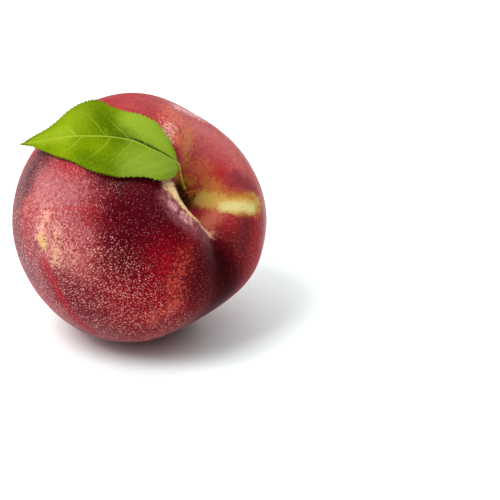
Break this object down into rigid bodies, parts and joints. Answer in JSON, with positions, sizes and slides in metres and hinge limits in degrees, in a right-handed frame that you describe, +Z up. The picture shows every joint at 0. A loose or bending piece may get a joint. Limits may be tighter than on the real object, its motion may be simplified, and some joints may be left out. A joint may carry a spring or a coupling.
{
  "type": "nectarine",
  "caption": "Ripe nectarine with a leaf on a short stalk, smooth and deep red, resting on its cheek. For still lifes, bowls, crates and handling tests.",
  "frame": {"origin": "middle of the small flat spot that the fruit rests on", "axes": "+Z up from the surface it rests on; +X towards the side where the stem cavity opens; -Y towards the side that the leaf lies on"},
  "size_m": [0.0709, 0.0691, 0.0718],
  "materials": {
    "skin": "satin",
    "stalk_wood": "matte",
    "leaf_tissue": "satin"
  },
  "bodies": {
    "root": {"fruit": "skin", "stem_stub": "stalk_wood", "leaf": "leaf_tissue"}
  },
  "joints": []
}
